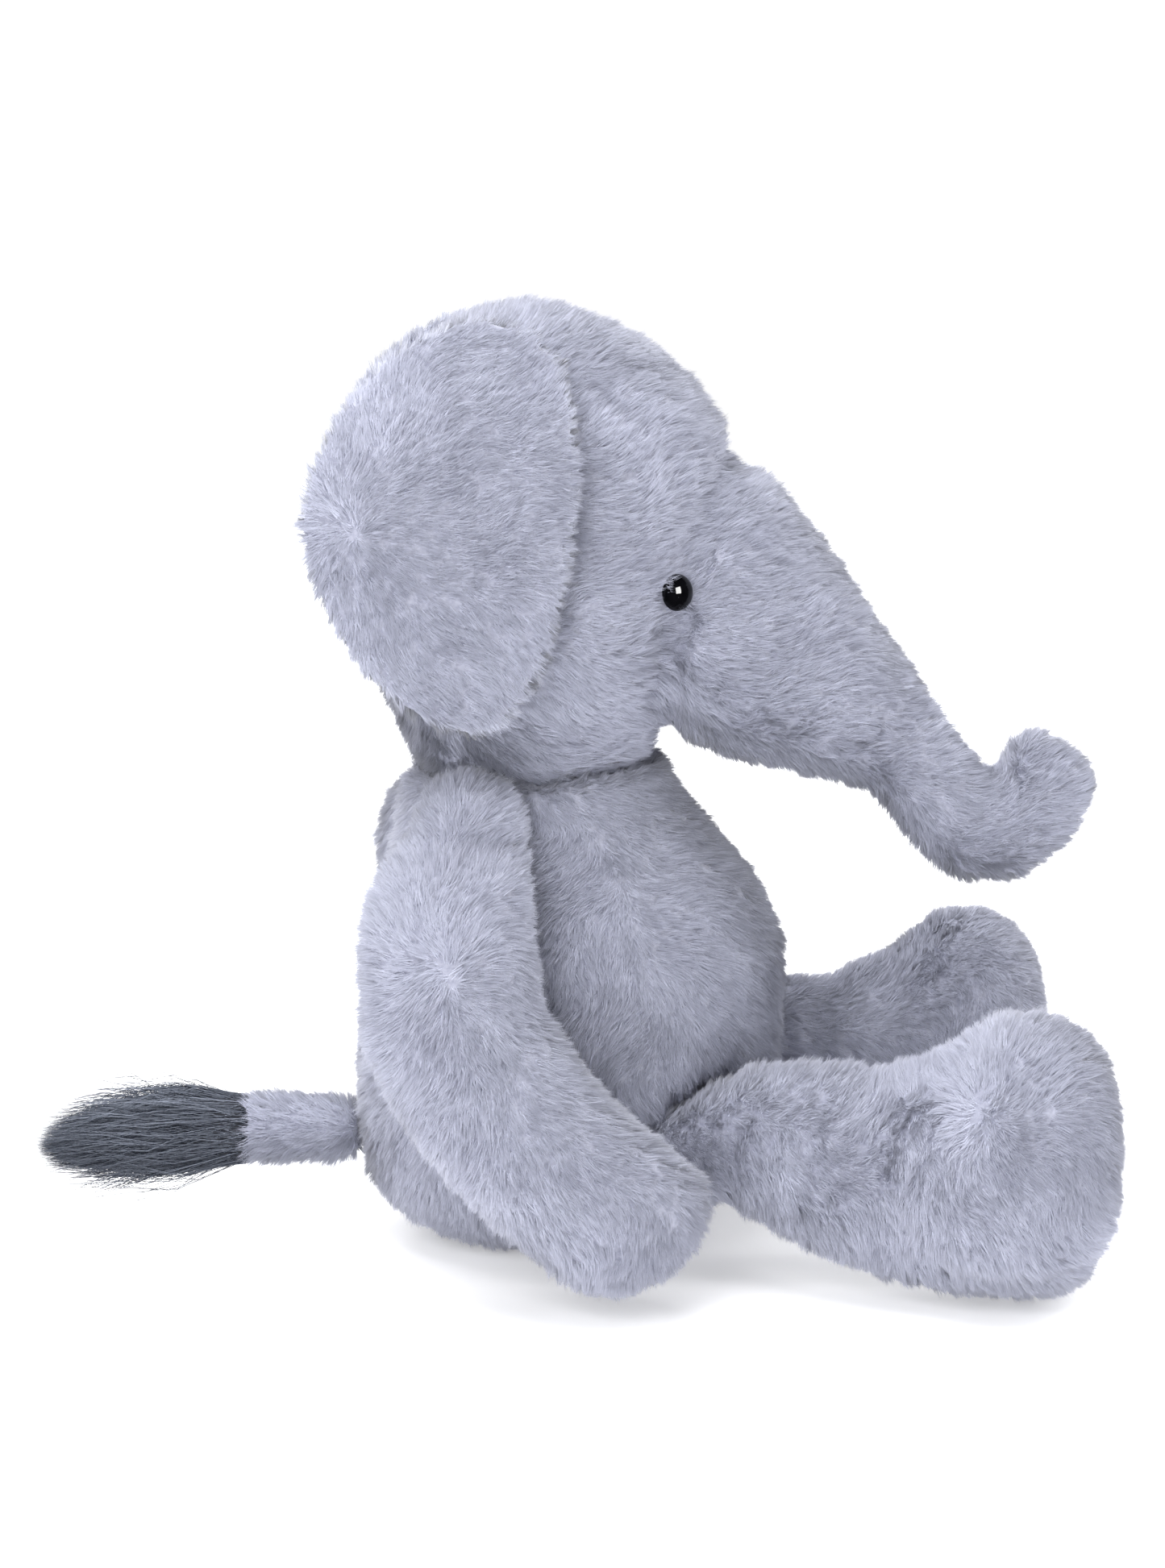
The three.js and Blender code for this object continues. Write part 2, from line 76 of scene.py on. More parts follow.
# Seams and creases, pressed into the skins
TRUNK_SEAM_DEPTH = 0.0022
TRUNK_SEAM_WIDTH = 0.003
CROWN_SEAM_SIDE = 0.039  # from the middle of the head
CROWN_SEAM_LOW = 0.245  # the seams over the crown fade in above this height
CROWN_SEAM_FADE = 0.015
CROWN_SEAM_FRONT = -0.06  # the seams end here
CROWN_SEAM_DEPTH = 0.0013
CROWN_SEAM_WIDTH = 0.0028
FOOT_BACK = 0.036  # from the sole's front back to the middle of the foot's swelling
FOOT_MIDDLE = 0.055  # height of that middle
FOOT_CREASE = 0.0445  # from that middle to the crease
FOOT_CREASE_DEPTH = 0.003
FOOT_CREASE_WIDTH = 0.006

# Eyes
EYE_AIM = (0.75, -0.65, 0.1)  # the way the left eye looks
EYE_RADIUS = 0.006
EYE_HEIGHT = 0.005
EYE_RIM = 0.0008  # height of the dome's straight rim
EYE_RIM_BEVEL = 0.0004
EYE_SHANK = 0.0022  # radius
# The rounded end of the shank: radius, and place along the eye's axis
EYE_SHANK_END = ((0.0004, -0.0155), (0.0019, -0.0152), (EYE_SHANK, -0.0145))
EYE_STEPS = 10
EYE_AROUND = 48
EYE_MIDDLE = 0.003  # below the top of the dome
EYE_CLEAR = 0.0057  # no pile is rooted this near to the middle of an eye
EYE_FADE = 0.0018  # past that, the pile is longer and steeper over this distance

# Pile
PILE_LENGTH = 0.0048
EAR_PILE_LENGTH = 0.0042
PILE_RADIUS = 0.00014
PILE_TILT = 0.85  # rise of a strand against its run along the nap
LOCKS_PER_MM2 = 0.42
STRANDS_PER_LOCK = 11
LOCK_SPREAD = 0.0015
LOCK_PINCH = 0.55  # how far a lock's tips draw together
STRANDS_PER_PIECE = 66000
STRAND_CORNERS = ((1, 0), (-0.5, 0.87), (-0.5, -0.87))  # of a strand's three-sided section
ROOT_CLEAR = 0.001  # from a root to the skins next to its own
ROOT_SINK = 0.0004
EYE_LONGER = 0.35  # of the pile right beside an eye
EYE_STEEPER = 1.1

# How far the pile varies, by a slow ripple over the skin and at random
WAVES = 7  # in a ripple
NAP_STRAY = 0.13
TIP_STRAY = 0.0003
NORMAL_STRAY = 0.15
LENGTH_RIPPLE = 0.16
LENGTH_STRAY = 0.1
TILT_RIPPLE = 0.35
TILT_STRAY = 0.2
TONE_MIDDLE = 0.6  # from 0, the deepest shade, to 1, the palest
TONE_RIPPLE = 0.07
TONE_STRAY = 0.12  # from lock to lock
STRAND_TONE_STRAY = 0.1  # from strand to strand

# The lay of each coat's nap, and its whorl: middle, reach and strength. Those at the side are on the left.
TORSO_LAY = (0, -0.15, -0.5)
TORSO_WHORL = ((0.06, -0.03, 0.11), 0.07, 0.45)
HEAD_LAY = (0, -0.9, 0.35)
HEAD_WHORL = ((0, 0.03, 0.28), 0.05, 1.0)
TAIL_LAY = (0, 1, -0.1)
ARM_LAY = (0, -0.15, -0.35)
ARM_WHORL = ((0.11, 0.036, 0.112), 0.1, 0.8)
LEG_LAY = (0, -0.7, -0.5)
LEG_WHORL = ((0.115, -0.127, 0.077), 0.04, 1.1)
EAR_LAY = (0, -0.4, 0)
EAR_WHORL = ((0.075, 0.067, 0.249), 0.1, 1.5)

# The tail's hair
TUFT_HAIRS = 9000  # roots that are tried
TUFT_REACH = 0.062  # of a long hair from the end of the tail
TUFT_SHORTEST = 0.005
TUFT_AXIS = 0.0105  # height of the tip of the tuft above its lowest point
TUFT_SPREAD = 0.08
TUFT_STRAYS = 0.09  # share of the hairs that stand away from the rest
TUFT_BOW = 0.09  # of a hair, against its length
TUFT_TAPER = 0.8  # a larger number gives a more pointed tuft
HAIR_RADII = (0.00006, 0.00011)

# Stage and camera
STAGE_FLOOR = 2.5  # radius of the flat floor
STAGE_CURVE = 0.9
STAGE_HEIGHT = 1.3
STAGE_STEPS = 10
STAGE_AROUND = 96
PAPER_GLOW = 0.3
WORLD_GLOW = 0.5
CAMERA_TARGET = (0, -0.003, 0.1549)
CAMERA_DISTANCE = 1.55
CAMERA_ELEVATION = math.radians(11.5)
CAMERA_LENS = 107.45
CAMERA_SENSOR = 36

# Linear colours, from the shaded roots of the pile to its palest tips.
PILE_DEEP = np.array((0.28, 0.29, 0.375))
PILE_PALE = np.array((0.585, 0.605, 0.73))
PILE_SHADES = 6
HAIR_DEEP = np.array((0.022, 0.025, 0.034))
HAIR_PALE = np.array((0.25, 0.275, 0.335))
HAIR_SHADES = 4
HAIR_USUAL = 1.4  # between the second and the third shade


# ------------------------------------------------------------ materials

def principled(name, colour, roughness):
    """A new material, its node tree and its shader, with a plain colour."""
    material = bpy.data.materials.new(name)
    material.use_nodes = True
    tree = material.node_tree
    shader = tree.nodes["Principled BSDF"]
    shader.inputs["Base Color"].default_value = (*colour, 1)
    shader.inputs["Roughness"].default_value = roughness
    material.diffuse_color = (*colour, 1)
    return material, tree, shader


def textured(name, dark, light, roughness, scale, stretch=(1, 1, 1), bump=0.0, sheen=0.0):
    """A material whose colour and bump follow a fine noise, stretched along the object's axes."""
    material, tree, shader = principled(name, light, roughness)
    shader.inputs["Sheen Weight"].default_value = sheen
    place = tree.nodes.new("ShaderNodeTexCoord")
    mapping = tree.nodes.new("ShaderNodeMapping")
    mapping.inputs["Scale"].default_value = stretch
    noise = tree.nodes.new("ShaderNodeTexNoise")
    noise.inputs["Scale"].default_value = scale
    noise.inputs["Detail"].default_value = 5
    ramp = tree.nodes.new("ShaderNodeValToRGB")
    ramp.color_ramp.elements[0].position = 0.3
    ramp.color_ramp.elements[0].color = (*dark, 1)
    ramp.color_ramp.elements[1].position = 0.7
    ramp.color_ramp.elements[1].color = (*light, 1)
    tree.links.new(place.outputs["Object"], mapping.inputs["Vector"])
    tree.links.new(mapping.outputs["Vector"], noise.inputs["Vector"])
    tree.links.new(noise.outputs["Fac"], ramp.inputs["Fac"])
    tree.links.new(ramp.outputs["Color"], shader.inputs["Base Color"])
    if bump:
        relief = tree.nodes.new("ShaderNodeBump")
        relief.inputs["Strength"].default_value = bump
        relief.inputs["Distance"].default_value = 0.001
        tree.links.new(noise.outputs["Fac"], relief.inputs["Height"])
        tree.links.new(relief.outputs["Normal"], shader.inputs["Normal"])
    return material


def shades(name, deep, pale, count, roughness, sheen):
    """A row of strand materials from deep to pale."""
    row = []
    for k in range(count):
        colour = deep + (pale - deep) * k / (count - 1)
        material, _, shader = principled(f"{name}_{k}", tuple(colour), roughness)
        shader.inputs["Sheen Weight"].default_value = sheen
        shader.inputs["Sheen Roughness"].default_value = 0.5
        shader.inputs["Specular IOR Level"].default_value = 0.0
        row.append(material)
    return row


PILE = shades("pile_strand", PILE_DEEP, PILE_PALE, PILE_SHADES, 0.85, 0.25)
HAIR = shades("tuft_strand", HAIR_DEEP, HAIR_PALE, HAIR_SHADES, 0.5, 0.0)
# The pile's backing is darker than its strands: painted shade, so the gaps between the strands read as
# shadow.
PAINTED_SHADE_BACKING = textured("pile_backing", (0.24, 0.25, 0.325), (0.35, 0.36, 0.445), 0.95, 700, bump=0.4, sheen=0.2)
TUFT_CORE = textured("tuft_core", (0.012, 0.013, 0.018), (0.05, 0.052, 0.065), 0.7, 900, (4, 0.3, 4), 0.6)
FIBRE = textured("fibre_filling", (0.72, 0.71, 0.67), (0.9, 0.89, 0.86), 0.95, 260, bump=0.8)
BAG = textured("pellet_cloth", (0.52, 0.49, 0.42), (0.7, 0.67, 0.6), 0.9, 1500, (1, 1, 0.4), bump=0.5)
NYLON = textured("washer_nylon", (0.72, 0.72, 0.7), (0.82, 0.82, 0.8), 0.5, 400, bump=0.1)
EYE = textured("eye_plastic", (0.0015, 0.0015, 0.002), (0.003, 0.003, 0.004), 0.05, 300)
EYE.node_tree.nodes["Principled BSDF"].inputs["IOR"].default_value = 1.25


# ------------------------------------------------------------ mesh helpers

def node_points(*nodes):
    """The vertices and faces of CAD nodes, joined."""
    points = []
    faces = []
    base = 0
    for node in nodes:
        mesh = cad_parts[node].data
        places = np.empty(len(mesh.vertices) * 3)
        mesh.vertices.foreach_get("co", places)
        points.append(places.reshape(-1, 3))
        faces += [[base + v for v in face.vertices] for face in mesh.polygons]
        base += len(mesh.vertices)
    return np.concatenate(points), faces


def ring_faces(rings, around):
    """The faces between rings of vertices, one ring after the other."""
    faces = []
    for ring in range(rings - 1):
        for k in range(around):
            low = ring * around + k
            low_next = ring * around + (k + 1) % around
            faces.append([low, low_next, low_next + around, low + around])
    return faces


def new_object(name, data):
    """A new object in the scene, from a mesh, a lamp or a camera."""
    piece = bpy.data.objects.new(name, data)
    bpy.context.scene.collection.objects.link(piece)
    return piece


def applied(piece):
    """Bakes the piece's modifiers into its mesh."""
    graph = bpy.context.evaluated_depsgraph_get()
    shape = bpy.data.meshes.new_from_object(piece.evaluated_get(graph))
    piece.modifiers.clear()
    piece.data = shape


def surface(mesh):
    """A mesh's vertices and their normals."""
    places = np.empty(len(mesh.vertices) * 3)
    normals = np.empty(len(mesh.vertices) * 3)
    mesh.vertices.foreach_get("co", places)
    mesh.vertices.foreach_get("normal", normals)
    return places.reshape(-1, 3), normals.reshape(-1, 3)


def lift_off(places, node):
    """Moves the places that lie too close to a filling's surface, or just under it, outwards."""
    points, faces = node_points(node)
    tree = BVHTree.FromPolygons(points.tolist(), faces)
    for k, place in enumerate(places):
        hit, normal, _, _ = tree.find_nearest(Vector(place), FILLING_REACH)
        if hit and (Vector(place) - hit).dot(normal) < FILLING_CLEAR:
            places[k] = hit + normal * FILLING_CLEAR


def make_skin(name, nodes, swell, smooth=SKIN_SMOOTH, material=PAINTED_SHADE_BACKING, shape=None, voxel=VOXEL):
    """One smooth closed skin around the given solids, moved outwards by `swell`."""
    points, faces = node_points(*nodes)
    mesh = bpy.data.meshes.new(name)
    mesh.from_pydata(points.tolist(), [], faces)
    skin = new_object(name, mesh)
    remesh = skin.modifiers.new("remesh", "REMESH")
    remesh.mode = "VOXEL"
    remesh.voxel_size = voxel
    soften = skin.modifiers.new("smooth", "SMOOTH")
    soften.factor = 0.5
    soften.iterations = smooth
    applied(skin)
    places, normals = surface(skin.data)
    places = places + normals * swell
    if shape:
        places = shape(places, normals)
    for node in nodes:
        if "stuffing" in node or "bag" in node:
            lift_off(places, node)
    places[:, 2] = np.maximum(places[:, 2], FLOOR_CLEAR)
    skin.data.vertices.foreach_set("co", places.ravel())
    skin.data.update()
    skin.data.shade_smooth()
    skin.data.materials.clear()
    skin.data.materials.append(material)
    return skin


# ------------------------------------------------------------ strands

def unit(vectors):
    """The vectors at length one."""
    return vectors / np.maximum(np.linalg.norm(vectors, axis=-1, keepdims=True), 1e-9)


def ripple(places, wavelength, seed):
    """A smooth pseudo-random value at each place, mostly between -1 and 1."""
    rng = np.random.default_rng(seed)
    waves = unit(rng.normal(size=(WAVES, 3))) * (2 * math.pi / wavelength)
    waves = waves * rng.uniform(0.7, 1.4, (WAVES, 1))
    return np.sin(places @ waves.T + rng.uniform(0, 6.3, WAVES)).sum(axis=1) / 2.6


def scatter(mesh, count, rng):
    """Random places on a mesh, evenly by area, with smooth normals."""
    mesh.calc_loop_triangles()
    corners = np.empty(len(mesh.loop_triangles) * 3, dtype=np.int64)
    mesh.loop_triangles.foreach_get("vertices", corners)
    corners = corners.reshape(-1, 3)
    places, normals = surface(mesh)
    a, b, c = (places[corners[:, k]] for k in range(3))
    areas = np.linalg.norm(np.cross(b - a, c - a), axis=1) / 2
    if count is None:
        count = int(areas.sum() * 1e6 * LOCKS_PER_MM2)
    chosen = rng.choice(len(areas), count, p=areas / areas.sum())
    shares = rng.dirichlet((1, 1, 1), count)
    spots = (places[corners[chosen]] * shares[:, :, None]).sum(axis=1)
    facing = unit((normals[corners[chosen]] * shares[:, :, None]).sum(axis=1))
    return spots, facing


def combed(spots, facing, lay, whorls, swirl, seed):
    """The nap's direction at each spot: a main lay, pushed outwards by whorls and stirred by a ripple."""
    flow = np.tile(np.array(lay, dtype=float), (len(spots), 1))
    for centre, reach, strength in whorls:
        away = spots - np.array(centre)
        distance = np.linalg.norm(away, axis=1, keepdims=True)
        flow += unit(away) * strength * np.exp(-((distance / reach) ** 2))
    flow = unit(flow - facing * (flow * facing).sum(axis=1, keepdims=True))
    across = np.cross(facing, flow)
    turn = (ripple(spots, 0.05, seed) * swirl + ripple(spots, 0.017, seed + 1) * swirl * 0.45)[:, None]
    return flow * np.cos(turn) + across * np.sin(turn)


def strand_mesh(name, path, side, rise, normal, shade, materials):
    """Three-sided strands along their paths, pointed at the end and shaded by the skin's normals."""
    count = len(shade)
    rings = [point + side * across + rise * up for point in path[:-1] for across, up in STRAND_CORNERS]
    points = np.stack([*rings, path[-1]], axis=1)
    points[:, :, 2] = np.maximum(points[:, :, 2], FLOOR_CLEAR)
    faces = []
    for ring in range(len(path) - 2):
        for k in range(3):
            a = 3 * ring + k
            b = 3 * ring + (k + 1) % 3
            faces += [(a, b, b + 3), (a, b + 3, a + 3)]
    last = 3 * (len(path) - 2)
    faces += [(last + k, last + (k + 1) % 3, last + 3) for k in range(3)]
    each = last + 4
    corners = np.arange(count)[:, None, None] * each + np.array(faces)
    mesh = bpy.data.meshes.new(name)
    mesh.vertices.add(count * each)
    mesh.vertices.foreach_set("co", points.reshape(-1))
    mesh.loops.add(corners.size)
    mesh.loops.foreach_set("vertex_index", corners.reshape(-1).astype(np.int32))
    mesh.polygons.add(count * len(faces))
    mesh.polygons.foreach_set("loop_start", np.arange(0, corners.size, 3, dtype=np.int32))
    mesh.polygons.foreach_set("material_index", np.repeat(shade, len(faces)).astype(np.int32))
    mesh.update(calc_edges=True)
    mesh.shade_smooth()
    mesh.normals_split_custom_set_from_vertices(np.repeat(unit(normal), each, axis=0).tolist())
    for material in materials:
        mesh.materials.append(material)
    return new_object(name, mesh)


def clear_of(spots, blockers):
    """Which spots lie well outside every blocking skin."""
    keep = np.ones(len(spots), dtype=bool)
    for blocker in blockers:
        low = np.array([min(corner[k] for corner in blocker.bound_box) for k in range(3)]) - ROOT_CLEAR
        high = np.array([max(corner[k] for corner in blocker.bound_box) for k in range(3)]) + ROOT_CLEAR
        near = np.flatnonzero(((spots > low) & (spots < high)).all(axis=1) & keep)
        tree = BVHTree.FromObject(blocker, bpy.context.evaluated_depsgraph_get())
        for k in near:
            spot = Vector(spots[k])
            hit, normal, _, _ = tree.find_nearest(spot)
            if (spot - hit).dot(normal) < ROOT_CLEAR:
                keep[k] = False
    return keep


def grow_pile(skin, body, lay, whorls, blockers, holes=(), swirl=0.5, length=PILE_LENGTH, seed=0, rim=0.0):
    """A coat of pile on a skin, in locks whose tips draw together. `rim` pales what faces up or along: a
    painted highlight.
    """
    rng = np.random.default_rng(SEED + seed)
    spots, facing = scatter(skin.data, None, rng)
    keep = clear_of(spots, blockers)
    beside = np.zeros(len(spots))
    for centre, reach in holes:
        distance = np.linalg.norm(spots - centre, axis=1)
        keep &= distance > reach
        beside += np.exp(-((distance - reach) / EYE_FADE) ** 2)
    spots = spots[keep]
    facing = facing[keep]
    beside = beside[keep]
    count = len(spots)
    flow = combed(spots, facing, lay, whorls, swirl, seed)
    flow = unit(flow + rng.normal(scale=NAP_STRAY, size=flow.shape))
    longer = 1 + EYE_LONGER * beside + LENGTH_RIPPLE * ripple(spots, 0.012, seed + 2)
    long = length * (longer + rng.normal(scale=LENGTH_STRAY, size=count))
    steeper = 1 + EYE_STEEPER * beside + TILT_RIPPLE * ripple(spots, 0.009, seed + 3)
    tilt = PILE_TILT * (steeper + rng.normal(scale=TILT_STRAY, size=count))
    tone = TONE_MIDDLE + TONE_RIPPLE * ripple(spots, 0.03, seed + 4)
    tone += rng.normal(scale=TONE_STRAY, size=count)
    # Painted highlight: strands on faces turned away from the sides are paler.
    tone += rim * (1 - np.abs(facing[:, 0]))
    lean = unit(flow + facing * tilt[:, None])

    each = (count, STRANDS_PER_LOCK, 1)
    across = np.cross(facing, flow)
    angle = rng.uniform(0, 2 * math.pi, each)
    reach = LOCK_SPREAD * np.sqrt(rng.uniform(0, 1, each))
    offset = (flow[:, None] * np.cos(angle) + across[:, None] * np.sin(angle)) * reach
    stretch = long[:, None, None] * rng.uniform(0.8, 1.15, each)
    root = spots[:, None] + offset - facing[:, None] * ROOT_SINK
    tip = spots[:, None] + offset * (1 - LOCK_PINCH) + lean[:, None] * stretch
    tip = tip + rng.normal(scale=TIP_STRAY, size=tip.shape)
    radius = PILE_RADIUS * rng.uniform(0.7, 1.2, each)
    side = across[:, None] * radius
    rise = unit(np.cross(tip - root, side)) * radius
    normal = facing[:, None] + rng.normal(scale=NORMAL_STRAY, size=tip.shape)
    shade = tone[:, None] + rng.normal(scale=STRAND_TONE_STRAY, size=(count, STRANDS_PER_LOCK))
    shade = np.clip(np.round(shade * (PILE_SHADES - 1)), 0, PILE_SHADES - 1)

    root, tip, side, rise, normal = (part.reshape(-1, 3) for part in (root, tip, side, rise, normal))
    shade = shade.reshape(-1).astype(int)
    order = rng.permutation(len(shade))
    for part, begin in enumerate(range(0, len(order), STRANDS_PER_PIECE)):
        some = order[begin:begin + STRANDS_PER_PIECE]
        name = f"{skin.name.replace('_skin', '')}_pile_{part + 1}"
        path = (root[some], tip[some])
        piece = strand_mesh(name, path, side[some], rise[some], normal[some], shade[some], PILE)
        attach(piece, body)


# ------------------------------------------------------------ the skins

def middle(node):
    """The middle of a CAD node's box."""
    low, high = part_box(node)
    return (Vector(low) + Vector(high)) / 2


def attach(piece, body):
    """Rides a piece on its body. The head's pieces get their placement baked into their meshes instead."""
    if body == "head":
        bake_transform(piece)
    else:
        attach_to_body(piece, body)


def pressed(places, normals, distance, depth, width):
    """Pushes a soft furrow into a skin where the distance to its line is small."""
    return places - normals * (depth * np.exp(-((distance / width) ** 2)))[:, None]


def gaps(places, node):
    """How far each place is from a CAD node's surface."""
    points, faces = node_points(node)
    tree = BVHTree.FromPolygons(points.tolist(), faces)
    return np.array([tree.find_nearest(Vector(place))[3] for place in places])


def ear_shape(side):
    """Spreads an ear out from its middle."""
    centre = np.array(middle(f"ear_back_{side}"))

    def shape(places, normals):
        return centre + (places - centre) * EAR_FIT
    return shape


def tuft_shape(places, normals):
    """Runs the tuft's core on into the end of the tail, and draws its tip in."""
    low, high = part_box("tail_tuft")
    places[:, 1] = high[1] - (high[1] - places[:, 1]) * TUFT_RUN_ON
    axis = np.array(((low[0] + high[0]) / 2, low[2] + TUFT_AXIS))
    along = np.clip((places[:, 1] - low[1]) / (high[1] - low[1]), 0, 1)
    places[:, 0::2] = axis + (places[:, 0::2] - axis) * (1 - TUFT_DRAW_IN * along ** 2)[:, None]
    return places


def head_shape(places, normals):
    """Presses in the seam around the trunk's base and the two seams of the panel over the crown."""
    seam = np.maximum(gaps(places, "head_cover"), gaps(places, "trunk_cover")) - SKIN_DEPTH
    places = pressed(places, normals, np.maximum(seam, 0), TRUNK_SEAM_DEPTH, TRUNK_SEAM_WIDTH)
    above = np.clip((places[:, 2] - CROWN_SEAM_LOW) / CROWN_SEAM_FADE, 0, 1)
    depth = CROWN_SEAM_DEPTH * (above * (places[:, 1] > CROWN_SEAM_FRONT))
    return pressed(places, normals, np.abs(places[:, 0]) - CROWN_SEAM_SIDE, depth, CROWN_SEAM_WIDTH)


def leg_shape(side):
    """Presses in the crease behind the foot's swelling."""
    low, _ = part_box(f"foot_sole_{side}")
    centre = np.array((low[1] + FOOT_BACK, FOOT_MIDDLE))

    def shape(places, normals):
        reach = np.linalg.norm(places[:, 1:] - centre, axis=1)
        return pressed(places, normals, reach - FOOT_CREASE, FOOT_CREASE_DEPTH, FOOT_CREASE_WIDTH)
    return shape


torso = make_skin("torso_skin", ["torso_stuffing", "pellet_bag"], OVER_FILLING)
head_nodes = ["head_cover", "head_stuffing", "trunk_cover", "trunk_stuffing", "trunk_tip_cover",
              "trunk_tip_stuffing", "eye_left", "eye_right", "eye_washer_left", "eye_washer_right"]
head = make_skin("head_skin", head_nodes, -SKIN_DEPTH, shape=head_shape)
tail = make_skin("tail_skin", ["tail_cover", "tail_stuffing"], -SKIN_DEPTH)
tuft = make_skin("tuft_core", ["tail_tuft"], -TUFT_DEPTH, TUFT_SMOOTH, TUFT_CORE, tuft_shape)
stuffed = [
    (torso, "torso", ["torso_cover"]),
    (head, "head", ["head_cover", "trunk_cover", "trunk_tip_cover"]),
    (tail, "tail", ["tail_cover"]),
]
arms = {}
legs = {}
ears = {}
for side in ("left", "right"):
    arms[side] = make_skin(f"arm_{side}_skin", [f"arm_stuffing_{side}"], OVER_FILLING)
    filling = [f"leg_stuffing_{side}"]
    legs[side] = make_skin(f"leg_{side}_skin", filling, OVER_FILLING, shape=leg_shape(side))
    nodes = [f"ear_back_{side}", f"ear_front_{side}"]
    ears[side] = make_skin(f"ear_{side}_skin", nodes, -EAR_DEPTH, EAR_SMOOTH, PAINTED_SHADE_BACKING, ear_shape(side),
                           EAR_VOXEL)
    stuffed.append((arms[side], f"arm_{side}", [f"arm_cover_{side}"]))
    stuffed.append((legs[side], f"leg_{side}", [f"leg_cover_{side}", f"foot_sole_{side}"]))
    stuffed.append((ears[side], f"ear_{side}", nodes))

for skin, body, nodes in stuffed:
    attach(skin, body)
    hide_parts(*nodes)
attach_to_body(tuft, "tail")
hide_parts("tail_tuft")


# ------------------------------------------------------------ the eyes

def eye_frame(side):
    """The eye's axis and the middle of its front, from its solid."""
    mirror = 1 if side == "left" else -1
    axis = unit(np.array((mirror * EYE_AIM[0], EYE_AIM[1], EYE_AIM[2])))
    points, _ = node_points(f"eye_{side}")
    along = points @ axis
    front = points[np.argmax(along)]
    return axis, front


def make_eye(side):
    """A polished dome with a thin rim, turned about the eye's axis, on its shank."""
    axis, front = eye_frame(side)
    rim = EYE_RIM - EYE_HEIGHT
    rise = [k / EYE_STEPS * math.pi / 2 for k in range(EYE_STEPS)]
    dome = [(EYE_RADIUS * math.cos(a), rim - rim * math.sin(a)) for a in rise]
    base = [(EYE_SHANK, -EYE_HEIGHT), (EYE_RADIUS - EYE_RIM_BEVEL, -EYE_HEIGHT)]
    profile = [*EYE_SHANK_END, *base, *dome]
    turn = Vector(axis).to_track_quat("Z", "Y")
    points = []
    for reach, along in profile:
        for k in range(EYE_AROUND):
            angle = 2 * math.pi * k / EYE_AROUND
            local = Vector((reach * math.cos(angle), reach * math.sin(angle), along))
            points.append(Vector(front) + turn @ local)
    faces = ring_faces(len(profile), EYE_AROUND)
    points.append(Vector(front))
    apex = len(points) - 1
    last = apex - EYE_AROUND
    faces += [[last + k, last + (k + 1) % EYE_AROUND, apex] for k in range(EYE_AROUND)]
    faces.append(list(range(EYE_AROUND))[::-1])
    mesh = bpy.data.meshes.new(f"eye_dome_{side}")
    mesh.from_pydata([tuple(p) for p in points], [], faces)
    mesh.update()
    mesh.shade_smooth()
    mesh.materials.append(EYE)
    eye = new_object(f"eye_dome_{side}", mesh)
    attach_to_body(eye, "head")
    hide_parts(f"eye_{side}")
    return front - axis * EYE_MIDDLE


eyes = {side: make_eye(side) for side in ("left", "right")}


# ------------------------------------------------------------ the pile

def mirrored(whorl, mirror):
    """A whorl on the left (1) or the right (-1)."""
    centre, reach, strength = whorl
    return (mirror * centre[0], centre[1], centre[2]), reach, strength


holes = [(spot, EYE_CLEAR) for spot in eyes.values()]
on_torso = [head, tail, arms["left"], arms["right"], legs["left"], legs["right"]]
torso_whorls = [mirrored(TORSO_WHORL, 1), mirrored(TORSO_WHORL, -1)]
grow_pile(torso, "torso", TORSO_LAY, torso_whorls, on_torso, seed=10)
grow_pile(head, "head", HEAD_LAY, [HEAD_WHORL], [torso, ears["left"], ears["right"]], holes, seed=20)
grow_pile(tail, "tail", TAIL_LAY, [], [torso], seed=40, swirl=0.2)
for mirror, side in ((1, "left"), (-1, "right")):
    grow_pile(arms[side], f"arm_{side}", ARM_LAY, [mirrored(ARM_WHORL, mirror)], [torso], seed=50 + mirror)
    grow_pile(legs[side], f"leg_{side}", LEG_LAY, [mirrored(LEG_WHORL, mirror)], [torso], seed=60 + mirror)
    # The ears get a painted highlight: paler pile on faces turned away from the sides, as along their
    # edges.
    grow_pile(ears[side], f"ear_{side}", EAR_LAY, [mirrored(EAR_WHORL, mirror)], [], seed=70 + mirror,
              swirl=0.4, length=EAR_PILE_LENGTH, rim=0.3)


# ------------------------------------------------------------ the tail's hair

